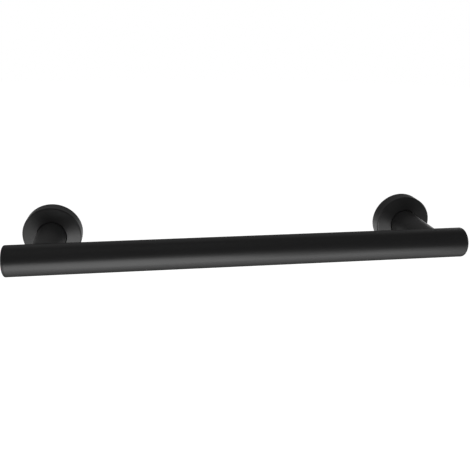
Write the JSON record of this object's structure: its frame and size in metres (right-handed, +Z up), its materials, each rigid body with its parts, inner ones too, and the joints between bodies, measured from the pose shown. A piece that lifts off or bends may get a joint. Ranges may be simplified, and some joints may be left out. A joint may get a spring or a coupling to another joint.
{
  "type": "grab bar",
  "caption": "Straight round grab bar on posts set in from its ends, with deep round covers over its wall plates; a handhold for a shower or bath.",
  "frame": {"origin": "on the wall plane, midway between the two post axes", "axes": "+X along the grip, +Y into the wall, +Z up"},
  "size_m": [0.478, 0.0969, 0.0634],
  "materials": {
    "frame_coat": "satin black powder coat",
    "cap_coat": "satin black powder coat",
    "cover_coat": "satin black powder coat"
  },
  "bodies": {
    "root": {"grip_tube": "frame_coat", "end_cap_left": "cap_coat", "end_cap_right": "cap_coat", "post_left": "frame_coat", "post_right": "frame_coat", "mounting_plate_left": "frame_coat", "mounting_plate_right": "frame_coat", "flange_cover_left": "cover_coat", "flange_cover_right": "cover_coat"}
  },
  "joints": []
}
